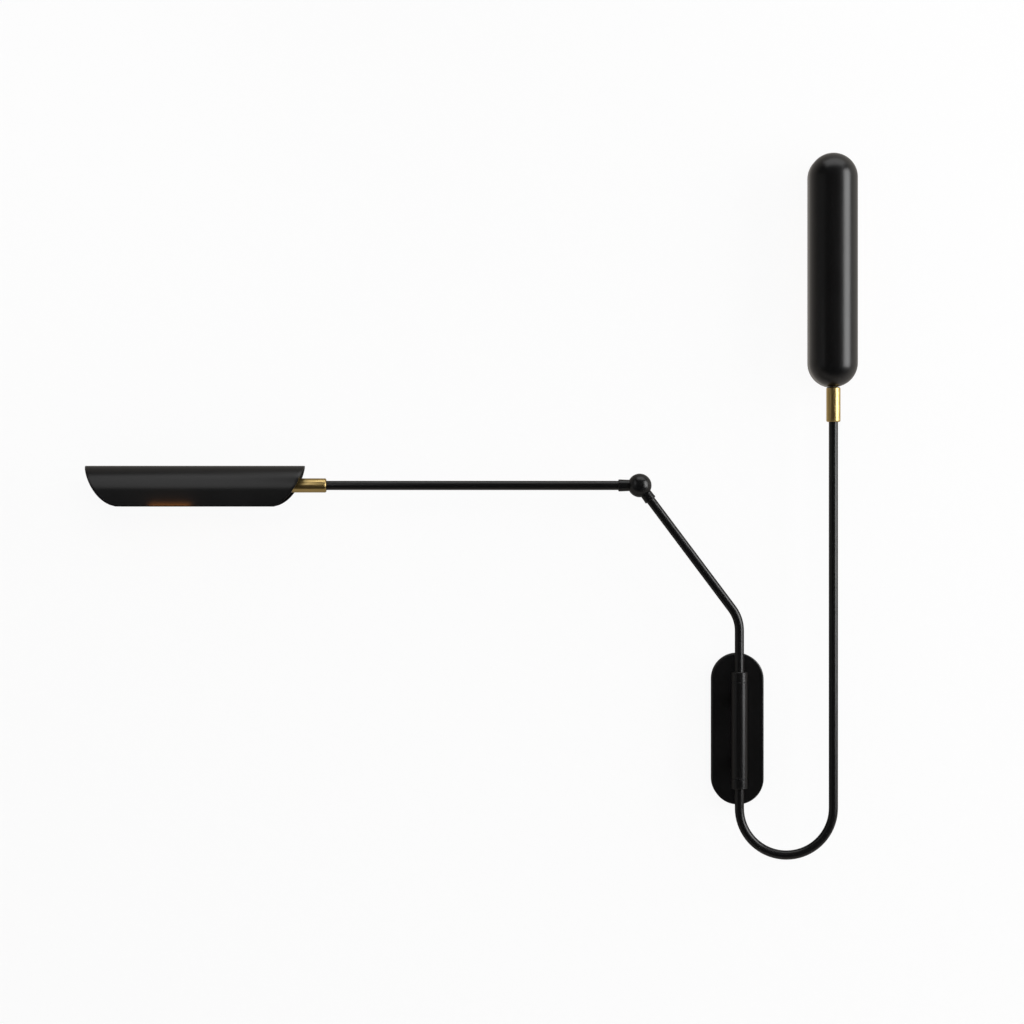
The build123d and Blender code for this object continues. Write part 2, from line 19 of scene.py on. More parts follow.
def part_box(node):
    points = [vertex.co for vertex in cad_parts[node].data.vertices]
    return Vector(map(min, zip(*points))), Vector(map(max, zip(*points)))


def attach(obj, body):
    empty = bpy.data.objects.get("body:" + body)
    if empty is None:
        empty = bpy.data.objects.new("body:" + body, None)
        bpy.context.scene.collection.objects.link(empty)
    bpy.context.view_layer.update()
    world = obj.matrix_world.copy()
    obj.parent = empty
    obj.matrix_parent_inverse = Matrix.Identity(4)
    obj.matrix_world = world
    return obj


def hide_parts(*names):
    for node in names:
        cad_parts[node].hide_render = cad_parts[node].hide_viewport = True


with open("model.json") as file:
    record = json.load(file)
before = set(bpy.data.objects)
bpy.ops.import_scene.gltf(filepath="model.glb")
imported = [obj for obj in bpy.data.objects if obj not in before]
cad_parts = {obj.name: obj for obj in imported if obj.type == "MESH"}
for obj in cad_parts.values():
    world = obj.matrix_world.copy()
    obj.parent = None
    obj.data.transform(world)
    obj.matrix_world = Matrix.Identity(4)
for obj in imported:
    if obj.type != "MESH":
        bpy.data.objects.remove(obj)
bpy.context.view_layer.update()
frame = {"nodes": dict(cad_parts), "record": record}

mm = 0.001
nodes = frame["nodes"]
print("CAD nodes:", len(nodes))

# %% [markdown]
# ## Camera
# The photograph looks straight at the wall from about four metres, so the wall plate and both
# shades are seen square on. A long lens at that distance keeps the arms parallel. The focal
# length is measured in pixels of the photograph, and the width of the sensor turns it into
# millimetres. A camera looks along its own -Z axis, so a quarter turn about X aims it along +Y,
# at the wall.

# %% Camera
photo_width_px, focal_length_px = 1024, 3077
camera_x, camera_z = -0.2956, 0.284
arms_y, camera_distance = -0.05, 4.0

camera_data = bpy.data.cameras.new("front_view")
camera_data.sensor_width = 36
camera_data.lens = focal_length_px / photo_width_px * camera_data.sensor_width
camera_data.clip_end = 50
camera = bpy.data.objects.new("front_view", camera_data)
camera.location = (camera_x, arms_y - camera_distance, camera_z)
camera.rotation_euler = (radians(90), 0, 0)
bpy.context.scene.collection.objects.link(camera)
bpy.context.scene.camera = camera
bpy.context.scene.view_settings.view_transform = "Standard"
print("lens", round(camera_data.lens, 1), "mm")

# %% [markdown]
# ## Building materials
# A shader is a small network. One helper adds a node, sets its properties and fills or links its
# inputs, which keeps every recipe short. Colours are written as the sRGB hex values that a colour
# picker shows; Blender works in linear light, so one function turns them over.


# %% Colours
def linear(hex_colour):
    """An sRGB hex value as linear red, green, blue and alpha."""
    channels = [int(hex_colour[i:i + 2], 16) / 255 for i in (1, 3, 5)]
    return [c / 12.92 if c <= 0.04045 else ((c + 0.055) / 1.055) ** 2.4 for c in channels] + [1]


# %% Nodes and finishes
def add_node(tree, kind, inputs=None, **settings):
    """Adds a node with its settings; an input that is a socket is linked, any other is a value."""
    node = tree.nodes.new(kind)
    for name, value in settings.items():
        setattr(node, name, value)
    for name, value in (inputs or {}).items():
        if isinstance(value, bpy.types.NodeSocket):
            tree.links.new(value, node.inputs[name])
        else:
            node.inputs[name].default_value = value
    return node


def new_finish(name, **sockets):
    """A material with constant values on its shader, then its node tree and that shader."""
    finish = bpy.data.materials.new(name)
    finish.use_nodes = True
    tree = finish.node_tree
    shader = tree.nodes["Principled BSDF"]
    for socket, value in sockets.items():
        shader.inputs[socket.replace("_", " ")].default_value = value
    print("finish", name)
    return finish, tree, shader


def object_point(tree):
    """Object coordinates: metres in the frame of the CAD model."""
    return add_node(tree, "ShaderNodeTexCoord").outputs["Object"]


# %% What a pattern drives
def colour_between(tree, shader, factor, low, high):
    """Feeds the shader's colour from low to high as the factor rises."""
    ramp = add_node(tree, "ShaderNodeValToRGB", {"Fac": factor})
    ramp.color_ramp.elements[0].color = linear(low)
    ramp.color_ramp.elements[1].color = linear(high)
    tree.links.new(ramp.outputs["Color"], shader.inputs["Base Color"])


def rough_between(tree, shader, factor, low, high):
    """Feeds the shader's roughness from low to high as the factor rises."""
    span = add_node(tree, "ShaderNodeMapRange", {"Value": factor, "To Min": low, "To Max": high})
    tree.links.new(span.outputs["Result"], shader.inputs["Roughness"])


def relief(tree, shader, height, depth):
    """Bumps the surface by a height from 0 to 1 that stands for this depth in metres."""
    bump = add_node(tree, "ShaderNodeBump", {"Height": height, "Distance": depth, "Strength": 1.0})
    tree.links.new(bump.outputs["Normal"], shader.inputs["Normal"])


# %% [markdown]
# ## Satin black powder coat
# The arms, shades, ball and wall plate are steel under polyester powder, sprayed dry and melted
# in an oven. It flows into a closed satin skin with a faint orange peel, waves one to three
# millimetres across and about a hundredth deep. It is a dielectric: a near-black colour under a
# soft clear reflection. Two noises give the peel and a slow drift in gloss; a flat black would
# look like a hole in the picture.

# %% Powder coat
powder_coat, tree, shader = new_finish("satin_black_powder_coat", IOR=1.5)
point = object_point(tree)
peel = add_node(tree, "ShaderNodeTexNoise", {"Vector": point, "Scale": 1 / (2.2 * mm),
                                             "Detail": 2.0})
drift = add_node(tree, "ShaderNodeTexNoise", {"Vector": point, "Scale": 1 / (45 * mm),
                                              "Detail": 3.0})
colour_between(tree, shader, drift.outputs["Fac"], "#070708", "#0b0b0c")
rough_between(tree, shader, drift.outputs["Fac"], 0.27, 0.33)
relief(tree, shader, peel.outputs["Fac"], 0.01 * mm)

# %% [markdown]
# ## Satin turned brass
# The ferrules are turned from brass bar and left with a fine satin: the tool leaves rings round
# the axis, about a third of a millimetre apart once they are coarse enough to show. A noise that
# is read along the axis only has one value all the way round, so it draws those rings. Metals
# take their colour in the reflection, so metallic is 1 and the base colour is the brass itself.


# %% Turned brass
def turned_brass(name, axis):
    """Brass with tool rings round the X or the Z axis."""
    finish, tree, shader = new_finish(name, Metallic=1.0, Anisotropic=0.35)
    point = object_point(tree)
    place = add_node(tree, "ShaderNodeSeparateXYZ", {"Vector": point})
    rings = add_node(tree, "ShaderNodeTexNoise", {"W": place.outputs[axis],
                                                  "Scale": 1 / (0.35 * mm), "Detail": 2.0},
                     noise_dimensions="1D")
    tarnish = add_node(tree, "ShaderNodeTexNoise", {"Vector": point, "Scale": 1 / (14 * mm),
                                                    "Detail": 4.0})
    colour_between(tree, shader, tarnish.outputs["Fac"], "#cbb071", "#e1c486")
    rough_between(tree, shader, rings.outputs["Fac"], 0.28, 0.38)
    relief(tree, shader, rings.outputs["Fac"], 0.004 * mm)
    return finish


brass_along_x = turned_brass("satin_brass_turned_x", "X")
brass_along_z = turned_brass("satin_brass_turned_z", "Z")

# %% [markdown]
# ## Zinc-plated steel
# Bracket, studs, nuts and screws are bright steel with a skin of zinc laid on in a bath, which
# leaves a cool grey metal with clouds of faint yellow and patches that are duller than others. The
# rolling marks of the steel still show as a fine grain. Threads are far too fine to model turn by
# turn, so a Ping-Pong node draws them as bands along the rod: it counts up for half a pitch and
# down again for the other half.


# %% Zinc-plated steel, plain and threaded
def zinc_plate(name, axis=None, pitch=None):
    """Zinc with its clouds, and a thread of this pitch along an axis if one is named."""
    finish, tree, shader = new_finish(name, Metallic=1.0)
    point = object_point(tree)
    clouds = add_node(tree, "ShaderNodeTexNoise", {"Vector": point, "Scale": 1 / (18 * mm),
                                                   "Detail": 3.0})
    dulling = add_node(tree, "ShaderNodeTexNoise", {"Vector": point, "Scale": 1 / (4 * mm),
                                                    "Detail": 4.0})
    colour_between(tree, shader, clouds.outputs["Fac"], "#aab3bd", "#c9c6b8")
    rough_between(tree, shader, dulling.outputs["Fac"], 0.2, 0.38)
    if axis:
        place = add_node(tree, "ShaderNodeSeparateXYZ", {"Vector": point})
        flank = add_node(tree, "ShaderNodeMath", {0: place.outputs[axis], 1: pitch / 2},
                         operation="PINGPONG")
        height = add_node(tree, "ShaderNodeMath", {0: flank.outputs[0], 1: pitch / 2},
                          operation="DIVIDE")
        relief(tree, shader, height.outputs[0], 0.3 * pitch)
    else:
        grain = add_node(tree, "ShaderNodeTexNoise", {"Vector": point, "Scale": 1 / (0.8 * mm)})
        relief(tree, shader, grain.outputs["Fac"], 0.004 * mm)
    return finish


zinc = zinc_plate("zinc_plated_steel")
zinc_thread_x = zinc_plate("zinc_thread_along_x", "X", 1.0 * mm)
zinc_thread_y = zinc_plate("zinc_thread_along_y", "Y", 1.2 * mm)
zinc_thread_z = zinc_plate("zinc_thread_along_z", "Z", 1.0 * mm)

# %% [markdown]
# ## Moulded nylon and moulded white plastic
# The bushes and the friction disc are black nylon, the driver and the terminals white
# polycarbonate. Both come from spark-eroded moulds, which leave a fine even grain that dulls the
# gloss; the nylon is a little waxy, the polycarbonate harder and brighter.


# %% Plastics
def moulded_plastic(name, low, high, roughness, grain_size):
    """A plastic with mould grain of this size and a slight drift in colour."""
    finish, tree, shader = new_finish(name, IOR=1.53)
    point = object_point(tree)
    grain = add_node(tree, "ShaderNodeTexNoise", {"Vector": point, "Scale": 1 / grain_size,
                                                  "Detail": 1.0})
    drift = add_node(tree, "ShaderNodeTexNoise", {"Vector": point, "Scale": 1 / (20 * mm)})
    colour_between(tree, shader, drift.outputs["Fac"], low, high)
    rough_between(tree, shader, grain.outputs["Fac"], roughness - 0.06, roughness + 0.06)
    relief(tree, shader, grain.outputs["Fac"], 0.01 * mm)
    return finish


nylon = moulded_plastic("moulded_black_nylon", "#151517", "#1e1e20", 0.5, 0.5 * mm)
white_plastic = moulded_plastic("moulded_white_polycarbonate", "#dfded9", "#eceae5", 0.42,
                                0.6 * mm)

# %% [markdown]
# ## Extruded aluminium
# Each carrier is cut from a flat extruded bar with no further finish. The die drags fine lines
# along its length, so the noise is squeezed across the bar and stretched along it by a Mapping
# node, one version for each head.


# %% Mill aluminium
def extruded_aluminium(name, stretch):
    """Bare aluminium with die lines; stretch is the size of the pattern along X, Y and Z."""
    finish, tree, shader = new_finish(name, Metallic=1.0)
    drawn = add_node(tree, "ShaderNodeMapping", {"Vector": object_point(tree),
                                                 "Scale": [1 / size for size in stretch]})
    lines = add_node(tree, "ShaderNodeTexNoise", {"Vector": drawn.outputs["Vector"], "Scale": 1.0,
                                                  "Detail": 3.0})
    colour_between(tree, shader, lines.outputs["Fac"], "#b4b7ba", "#d2d4d5")
    rough_between(tree, shader, lines.outputs["Fac"], 0.3, 0.46)
    relief(tree, shader, lines.outputs["Fac"], 0.01 * mm)
    return finish


aluminium_along_x = extruded_aluminium("mill_aluminium_along_x", (60 * mm, 0.5 * mm, 0.5 * mm))
aluminium_along_z = extruded_aluminium("mill_aluminium_along_z", (0.5 * mm, 0.5 * mm, 60 * mm))

# %% [markdown]
# ## Light board, chips and opal diffuser
# A white-masked aluminium board carries a row of warm white chips, each a package with a yellow
# phosphor cap. The opal acrylic in front of them scatters the light, so it glows evenly with only
# a faint beat where each chip sits. The lamp is on in the photograph, so the chips and the opal
# give a little warm light of their own.

# %% Light board
light_board, tree, shader = new_finish("white_solder_mask", IOR=1.5)
point = object_point(tree)
mottle = add_node(tree, "ShaderNodeTexNoise", {"Vector": point, "Scale": 1 / (1.2 * mm)})
colour_between(tree, shader, mottle.outputs["Fac"], "#e2e3dc", "#f0f0ea")
rough_between(tree, shader, mottle.outputs["Fac"], 0.28, 0.38)
relief(tree, shader, mottle.outputs["Fac"], 0.008 * mm)

# %% Light chips
light_chip, tree, shader = new_finish("phosphor_chip", Roughness=0.35)
grain = add_node(tree, "ShaderNodeTexNoise", {"Vector": object_point(tree),
                                              "Scale": 1 / (0.9 * mm)})
colour_between(tree, shader, grain.outputs["Fac"], "#e6b93c", "#f3d468")
shader.inputs["Emission Color"].default_value = linear("#ffc27a")
shader.inputs["Emission Strength"].default_value = 3.0


# %% Opal acrylic
def opal(name, axis, middle, spacing):
    """Glowing opal acrylic whose light beats once for every chip along an axis."""
    finish, tree, shader = new_finish(name, Roughness=0.3, IOR=1.49)
    place = add_node(tree, "ShaderNodeSeparateXYZ", {"Vector": object_point(tree)})
    from_middle = add_node(tree, "ShaderNodeMath", {0: place.outputs[axis], 1: middle},
                           operation="SUBTRACT")
    beat = add_node(tree, "ShaderNodeMath", {0: from_middle.outputs[0], 1: spacing / 2},
                    operation="PINGPONG")
    share = add_node(tree, "ShaderNodeMath", {0: beat.outputs[0], 1: spacing / 2},
                     operation="DIVIDE")
    glow = add_node(tree, "ShaderNodeValToRGB", {"Fac": share.outputs[0]})
    glow.color_ramp.elements[0].color = linear("#ffb469")
    glow.color_ramp.elements[1].color = linear("#ffcd92")
    tree.links.new(glow.outputs["Color"], shader.inputs["Emission Color"])
    shader.inputs["Base Color"].default_value = linear("#f6eee0")
    shader.inputs["Emission Strength"].default_value = 1.35
    return finish


# %% [markdown]
# ## Dressing the CAD pieces
# These pieces already have their true shape in CAD, so each keeps its mesh and only its material
# changes. The material goes into the slots of the object; the mesh is not touched.

# %% Materials for the CAD nodes
finishes = {
    powder_coat: ["canopy", "pivot_barrel", "upper_collar", "lower_collar", "barrel_spacers",
                  "upper_arm_tube", "lower_arm_tube", "forearm_tube", "elbow_front_half",
                  "elbow_rear_half"],
    zinc: ["wall_bracket", "barrel_washers", "upper_retaining_ring", "lower_retaining_ring",
           "elbow_spring_washer", "elbow_bolt", "left_swivel_washer", "right_swivel_washer",
           "left_shade_spacers", "right_shade_spacers", "right_seat_washer"],
    zinc_thread_x: ["left_nipple"],
    zinc_thread_y: ["barrel_studs"],
    zinc_thread_z: ["right_nipple"],
    nylon: ["upper_bush", "lower_bush", "elbow_friction_disc"],
    white_plastic: ["led_driver", "terminal_block"],
    aluminium_along_x: ["left_carrier"],
    aluminium_along_z: ["right_carrier"],
    light_board: ["left_led_board", "right_led_board"],
    light_chip: ["left_led_chips", "right_led_chips"],
}
chip_count = 14
for side, axis, index in (("left", "X", 0), ("right", "Z", 2)):
    low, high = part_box(f"{side}_led_board")
    middle = (low[index] + high[index]) / 2
    spacing = (high[index] - low[index]) / chip_count
    finishes[opal(f"opal_acrylic_{side}", axis, middle, spacing)] = [f"{side}_diffuser"]
for finish, names in finishes.items():
    for name in names:
        for material_slot in nodes[name].material_slots:
            material_slot.material = finish
print("dressed", sum(len(names) for names in finishes.values()), "CAD nodes")

# %% [markdown]
# ## A frame for each head
# The shades, their studs and the ferrules are easiest to draw with their swivel axis on Z, and they
# belong out at the ends of the arms. So each head gets a matrix that carries the easy place to the
# real one: X lies across the shade, Y points to its crown, and Z runs along the axis, away from
# the arm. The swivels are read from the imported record, so what is drawn this way sits on its joint.


# %% Frames of the heads
def head_frame(origin, across, outwards):
    """Matrix of a head: x across, y towards the crown, z outwards along the swivel axis."""
    across, outwards = Vector(across), Vector(outwards)
    turn = Matrix((across, outwards.cross(across), outwards)).transposed().to_4x4()
    return Matrix.Translation(Vector(origin)) @ turn


joints = {joint["name"]: joint for joint in frame["record"]["behaviour"]["joints"]}
left_frame = head_frame(joints["left_head_roll"]["pos_m"], (0, -1, 0), (-1, 0, 0))
right_frame = head_frame(joints["right_head_turn"]["pos_m"], (-1, 0, 0), (0, 0, 1))
print("left head at", left_frame.translation, "and right head at", right_frame.translation)

# %% [markdown]
# ## Finishing a bmesh piece
# Every made piece ends the same way: its mesh goes into an object at the origin, faces are shaded
# smooth except across sharp edges, it takes its finish and is hung on the body that carries it, and
# the CAD nodes it stands for are hidden. Real edges are never quite sharp, and a narrow bevel on
# them is what catches the light.


# %% Rounding edges and finishing a piece
smooth_angle = 35


def sharp_edges(bm, angle):
    """Edges that two faces meet at with more than this turn, in degrees."""
    return [e for e in bm.edges if len(e.link_faces) == 2 and e.calc_face_angle() > radians(angle)]


def soften(bm, edges, width, segments=2):
    """Rounds edges by a width in millimetres."""
    bmesh.ops.bevel(bm, geom=edges, offset=width * mm, offset_type="OFFSET", segments=segments,
                    profile=0.5, affect="EDGES", material=-1, clamp_overlap=True)


def finish_piece(name, bm, place, body, finish, stands_for=()):
    """Places the shape, makes it an object, gives it its body and finish and hides what it stands
    for.
    """
    bmesh.ops.transform(bm, matrix=place, verts=bm.verts)
    mesh = bpy.data.meshes.new(name)
    bm.to_mesh(mesh)
    bm.free()
    mesh.shade_smooth()
    mesh.set_sharp_from_angle(angle=radians(smooth_angle))
    mesh.materials.append(finish)
    piece = bpy.data.objects.new(name, mesh)
    bpy.context.scene.collection.objects.link(piece)
    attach(piece, body)
    if stands_for:
        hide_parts(*stands_for)
    print(name, "-", len(mesh.polygons), "faces")


# %% [markdown]
# ## The left shade: a sheet with rounded ends, rolled to a hood
# The real hood starts as a flat strip of sheet steel. Its short ends are cut in a curve, and the
# strip is then rolled over a bar, which leaves straight skirts below the curve. The mesh is made
# the same way: a flat grid, its ends drawn in to the curve, rolled about the bar and given its
# thickness. Cutting the ends after rolling would need a boolean and leave ragged faces.
#
# The crown lies hood_crown above the swivel axis, the rim hood_depth below the crown, and the
# strip reaches hood_overlap back past the swivel. Each end is half an ellipse on the flat strip,
# end_sweep deep and blank_half_width to either side.

# %% Sizes of the hood, and its blank
shade_radius, shade_wall, rim_rounding = 31.7, 1.5, 0.35
hood_length, hood_overlap, hood_crown = 285.0, 17.0, 25.5
hood_depth, end_sweep, blank_half_width = 53.0, 48.0, 71.5
steps_along, steps_across = 60, 72
quarter_arc = shade_radius * pi / 2
rim_arc = quarter_arc + hood_depth - shade_radius
print("hood blank", hood_length, "x", round(2 * rim_arc, 1), "mm")


# %% Rolling the strip and giving it its wall
def roll(arc):
    """Where a point of the strip this far from its middle line ends up: across, and height."""
    turn = min(abs(arc), quarter_arc) / shade_radius
    across = shade_radius * sin(turn) * (1 if arc > 0 else -1)
    return across, hood_crown - shade_radius * (1 - cos(turn)) - max(0, abs(arc) - quarter_arc)


def cut_back(arc):
    """How far the curved end of the strip lies behind its foremost point."""
    share = min(1, abs(arc) / blank_half_width)
    return end_sweep * (1 - sqrt(1 - share * share))


def add_wall(bm):
    """Turns a sheet's faces outwards at its crown, gives it its wall and rounds its rim."""
    bmesh.ops.recalc_face_normals(bm, faces=bm.faces)
    crown_face = max(bm.faces, key=lambda face: face.calc_center_median().y)
    if crown_face.normal.y < 0:
        bmesh.ops.reverse_faces(bm, faces=bm.faces)
    bmesh.ops.solidify(bm, geom=bm.faces, thickness=shade_wall * mm)
    soften(bm, sharp_edges(bm, 60), rim_rounding)


# %% Rolled hood
hood = bmesh.new()
bmesh.ops.create_grid(hood, x_segments=steps_along, y_segments=steps_across, size=1.0)
for vert in hood.verts:
    arc = vert.co.y * rim_arc
    along = (vert.co.x + 1) / 2
    start = cut_back(arc) - hood_overlap
    end = hood_length - hood_overlap - cut_back(arc)
    across, height = roll(arc)
    vert.co = Vector((across, height, start + along * (end - start))) * mm
add_wall(hood)
finish_piece("rolled_hood", hood, left_frame, "left_head", powder_coat,
             ["left_hood"])

# %% [markdown]
# ## The right shade: a pressed dome
# This shade is pressed from sheet: half a capsule with a straight skirt towards the wall. Its
# outline is drawn with two quarter turns and a straight run between them. Spinning that line half
# way round the swivel axis sweeps the dome, and pushing its open edge towards the wall adds the
# skirt, so the whole shell is one clean surface before it gets its wall.

# %% Sizes of the dome
dome_start, dome_length, dome_skirt = 0.3, 304.5, 23.0
corner_steps, run_cuts, half_turn_steps = 22, 23, 64
print("dome", dome_length, "mm long and", dome_skirt + shade_radius, "mm deep")


# %% Pressed dome
def verts_of(geometry):
    """The vertices among what an operator returned."""
    return [part for part in geometry if isinstance(part, bmesh.types.BMVert)]


dome = bmesh.new()
tip = dome.verts.new((0, 0, dome_start * mm))
low_centre = (0, 0, (dome_start + shade_radius) * mm)
high_centre = (0, 0, (dome_start + dome_length - shade_radius) * mm)
step = bmesh.ops.spin(dome, geom=[tip], cent=low_centre, axis=(0, 1, 0), angle=radians(-90),
                      steps=corner_steps)
step = bmesh.ops.extrude_vert_indiv(dome, verts=verts_of(step["geom_last"]))
run, run_end = step["edges"], step["verts"]
bmesh.ops.translate(dome, verts=run_end, vec=(0, 0, (dome_length - 2 * shade_radius) * mm))
bmesh.ops.spin(dome, geom=run_end, cent=high_centre, axis=(0, 1, 0), angle=radians(-90),
               steps=corner_steps)
bmesh.ops.subdivide_edges(dome, edges=run, cuts=run_cuts)
bmesh.ops.spin(dome, geom=dome.verts[:] + dome.edges[:], cent=(0, 0, 0), axis=(0, 0, 1),
               angle=radians(180), steps=half_turn_steps)
bmesh.ops.remove_doubles(dome, verts=dome.verts, dist=0.001 * mm)
open_edge = [edge for edge in dome.edges if edge.is_boundary]
skirt = bmesh.ops.extrude_edge_only(dome, edges=open_edge)["geom"]
bmesh.ops.translate(dome, verts=verts_of(skirt), vec=(0, -dome_skirt * mm, 0))
add_wall(dome)
finish_piece("pressed_dome", dome, right_frame, "right_head", powder_coat,
             ["right_shade"])

# %% [markdown]
# ## Weld studs of the shades
# Two threaded studs are welded under the crown of each shade and carry the lamp inside it. In CAD
# they belong to the shade; here they are rods of their own so that they can show bare threads. Each
# ends in the middle of the sheet, which stands for its weld.


# %% Weld studs
def add_rod(bm, diameter, length, place):
    """Adds a rod that is centred on a place and lies along its Z axis."""
    bmesh.ops.create_cone(bm, cap_ends=True, segments=24, radius1=diameter / 2 * mm,
                          radius2=diameter / 2 * mm, depth=length * mm, matrix=place)


stud_diameter, stud_foot, stud_end_gap = 5.0, 4.0, 40.0
end_rounding = 0.3

for side, place, near, far, crown, finish in (
    ("left", left_frame, -hood_overlap, hood_length - hood_overlap, hood_crown, zinc_thread_z),
    ("right", right_frame, dome_start, dome_start + dome_length, shade_radius, zinc_thread_y),
):
    studs = bmesh.new()
    height = crown - shade_wall / 2 - stud_foot
    for along in (near + stud_end_gap, far - stud_end_gap):
        spot = Matrix.Translation(Vector((0, stud_foot + height / 2, along)) * mm)
        add_rod(studs, stud_diameter, height, spot @ Matrix.Rotation(radians(90), 4, "X"))
    soften(studs, sharp_edges(studs, 60), end_rounding, 1)
    finish_piece(f"{side}_weld_studs", studs, place, f"{side}_head", finish)

# %% [markdown]
# ## Brass ferrules
# Each ferrule is turned on a lathe, and a lathe is a profile carried round an axis. Half of the
# outline is drawn once, with its chamfers, the socket for the tube and the bore, and spun a full
# turn; use_merge closes the seam where the last step meets the first.

# %% Outline of a ferrule
ferrule_radius, ferrule_length = 9.2, 45.0
ferrule_chamfer, ferrule_rounding = 1.2, 0.12
bore_radius, socket_radius, socket_depth = 5.0, 6.02, 15.0
land_radius = ferrule_radius - ferrule_chamfer
socket_floor = socket_depth - ferrule_length
ferrule_outline = [
    (bore_radius, 0), (land_radius, 0), (ferrule_radius, -ferrule_chamfer),
    (ferrule_radius, ferrule_chamfer - ferrule_length), (land_radius, -ferrule_length),
    (socket_radius, -ferrule_length), (socket_radius, socket_floor), (bore_radius, socket_floor),
]
print("ferrule", 2 * ferrule_radius, "mm across and", ferrule_length, "mm long")


# %% Turned ferrules
def lathe(outline, segments=64):
    """A closed outline of radius and height in millimetres, spun a full turn about Z."""
    bm = bmesh.new()
    ring = [bm.verts.new((radius * mm, 0, height * mm)) for radius, height in outline]
    edges = [bm.edges.new((ring[i - 1], ring[i])) for i in range(len(ring))]
    bmesh.ops.spin(bm, geom=ring + edges, cent=(0, 0, 0), axis=(0, 0, 1), angle=2 * pi,
                   steps=segments, use_merge=True)
    bmesh.ops.recalc_face_normals(bm, faces=bm.faces)
    return bm


for side, place, body, finish in (("left", left_frame, "forearm", brass_along_x),
                                  ("right", right_frame, "lower_arm", brass_along_z)):
    ferrule = lathe(ferrule_outline)
    soften(ferrule, sharp_edges(ferrule, 30), ferrule_rounding)
    finish_piece(f"{side}_turned_ferrule", ferrule, place, body, finish,
                 [f"{side}_ferrule"])

# %% [markdown]
# ## Hexagon nuts
# A nut is turned before its flats show: a bar is faced and chamfered at 30 degrees, so the flats
# end in the shallow arcs that every real nut has. The mesh follows that order. A chamfered blank is
# spun, and six cuts along the flats take its sides off; each cut is filled again as it is made. A
# prism with bevelled edges would be quicker, and would lack those arcs. Where each nut sits, how
# tall it is and which way its corners point are measured on the CAD nuts that it stands for.


# %% One piece of a set
def add_copy(bm, shape, place):
    """Adds a finished shape to a larger one at a place."""
    bmesh.ops.transform(shape, matrix=place, verts=shape.verts)
    mesh = bpy.data.meshes.new("one_of_a_set")
    shape.to_mesh(mesh)
    shape.free()
    bm.from_mesh(mesh)
    bpy.data.meshes.remove(mesh)


# %% A nut from its blank
face_share, countersink, blank_segments = 0.95, 0.4, 72


def cut_nut(bm, flats, height, bore, place):
    """Adds a nut with this size over its flats, from z = 0 upwards, at a place."""
    hole, corner = bore / 2, flats / 2 / cos(radians(30))
    face = face_share * flats / 2
    chamfer = (corner - face) * tan(radians(30))
    blank = lathe([(hole, countersink), (hole + countersink, 0), (face, 0), (corner, chamfer),
                   (corner, height - chamfer), (face, height), (hole + countersink, height),
                   (hole, height - countersink)], blank_segments)
    for turn in range(6):
        outwards = Vector((cos(radians(60 * turn)), sin(radians(60 * turn)), 0))
        cut = bmesh.ops.bisect_plane(blank, geom=blank.verts[:] + blank.edges[:] + blank.faces[:],
                                     plane_co=outwards * flats / 2 * mm, plane_no=outwards,
                                     clear_outer=True)["geom_cut"]
        outline = [part for part in cut if isinstance(part, bmesh.types.BMEdge)]
        bmesh.ops.edgeloop_fill(blank, edges=outline)
    bmesh.ops.recalc_face_normals(blank, faces=blank.faces)
    add_copy(bm, blank, place)


# %% Where the CAD nuts sit
# A nut made along Z is turned to its axis, X, Y or Z; its own X and Y then lie along across_of.
turn_to = (Matrix.Rotation(radians(90), 4, "Y"), Matrix.Rotation(radians(-90), 4, "X"),
           Matrix.Identity(4))
across_of = ((2, 1), (0, 2), (0, 1))


def nut_places(name, axis, pair):
    """Place and height of each CAD nut of a node; a pair of nuts is parted along one axis."""
    points = [vert.co for vert in nodes[name].data.vertices]
    groups = [points]
    if pair is not None:
        middle = sum(point[pair] for point in points) / len(points)
        groups = [[p for p in points if p[pair] < middle], [p for p in points if p[pair] > middle]]
    places = []
    for group in groups:
        low = Vector([min(point[i] for point in group) for i in range(3)])
        high = Vector([max(point[i] for point in group) for i in range(3)])
        base, size = (low + high) / 2, high - low
        base[axis] = low[axis]
        first, second = across_of[axis]
        corners_first = size[first] > size[second]
        turn = Matrix.Rotation(radians(30) if corners_first else 0, 4, "Z")
        places.append((Matrix.Translation(base) @ turn_to[axis] @ turn, size[axis] / mm))
    return places


# %% Nuts
for name, body, axis, pair, flats, bore in (
    ("barrel_nuts", "wall_mount", 1, 2, 13.0, 8.0),
    ("left_swivel_nut", "forearm", 0, None, 14.0, 10.0),
    ("right_swivel_nut", "lower_arm", 2, None, 14.0, 10.0),
    ("left_shade_nuts", "left_head", 2, 0, 8.0, 5.0),
    ("right_shade_nuts", "right_head", 1, 2, 8.0, 5.0),
):
    nuts = bmesh.new()
    for place, height in nut_places(name, axis, pair):
        cut_nut(nuts, flats, height, bore, place)
    finish_piece(f"cut_{name}", nuts, Matrix.Identity(4), body, zinc, [name])

# %% [markdown]
# ## Socket screws
# The screws that hold the collars to their tubes and the canopy to its bracket have no head: a
# hexagonal socket is pressed into the end of a rod. Here the end face of a rod is inset, the points
# of the inset are pulled onto a hexagon, and that face is pushed down as deep as the key reaches.


# %% A socket screw
socket_rim = 0.1


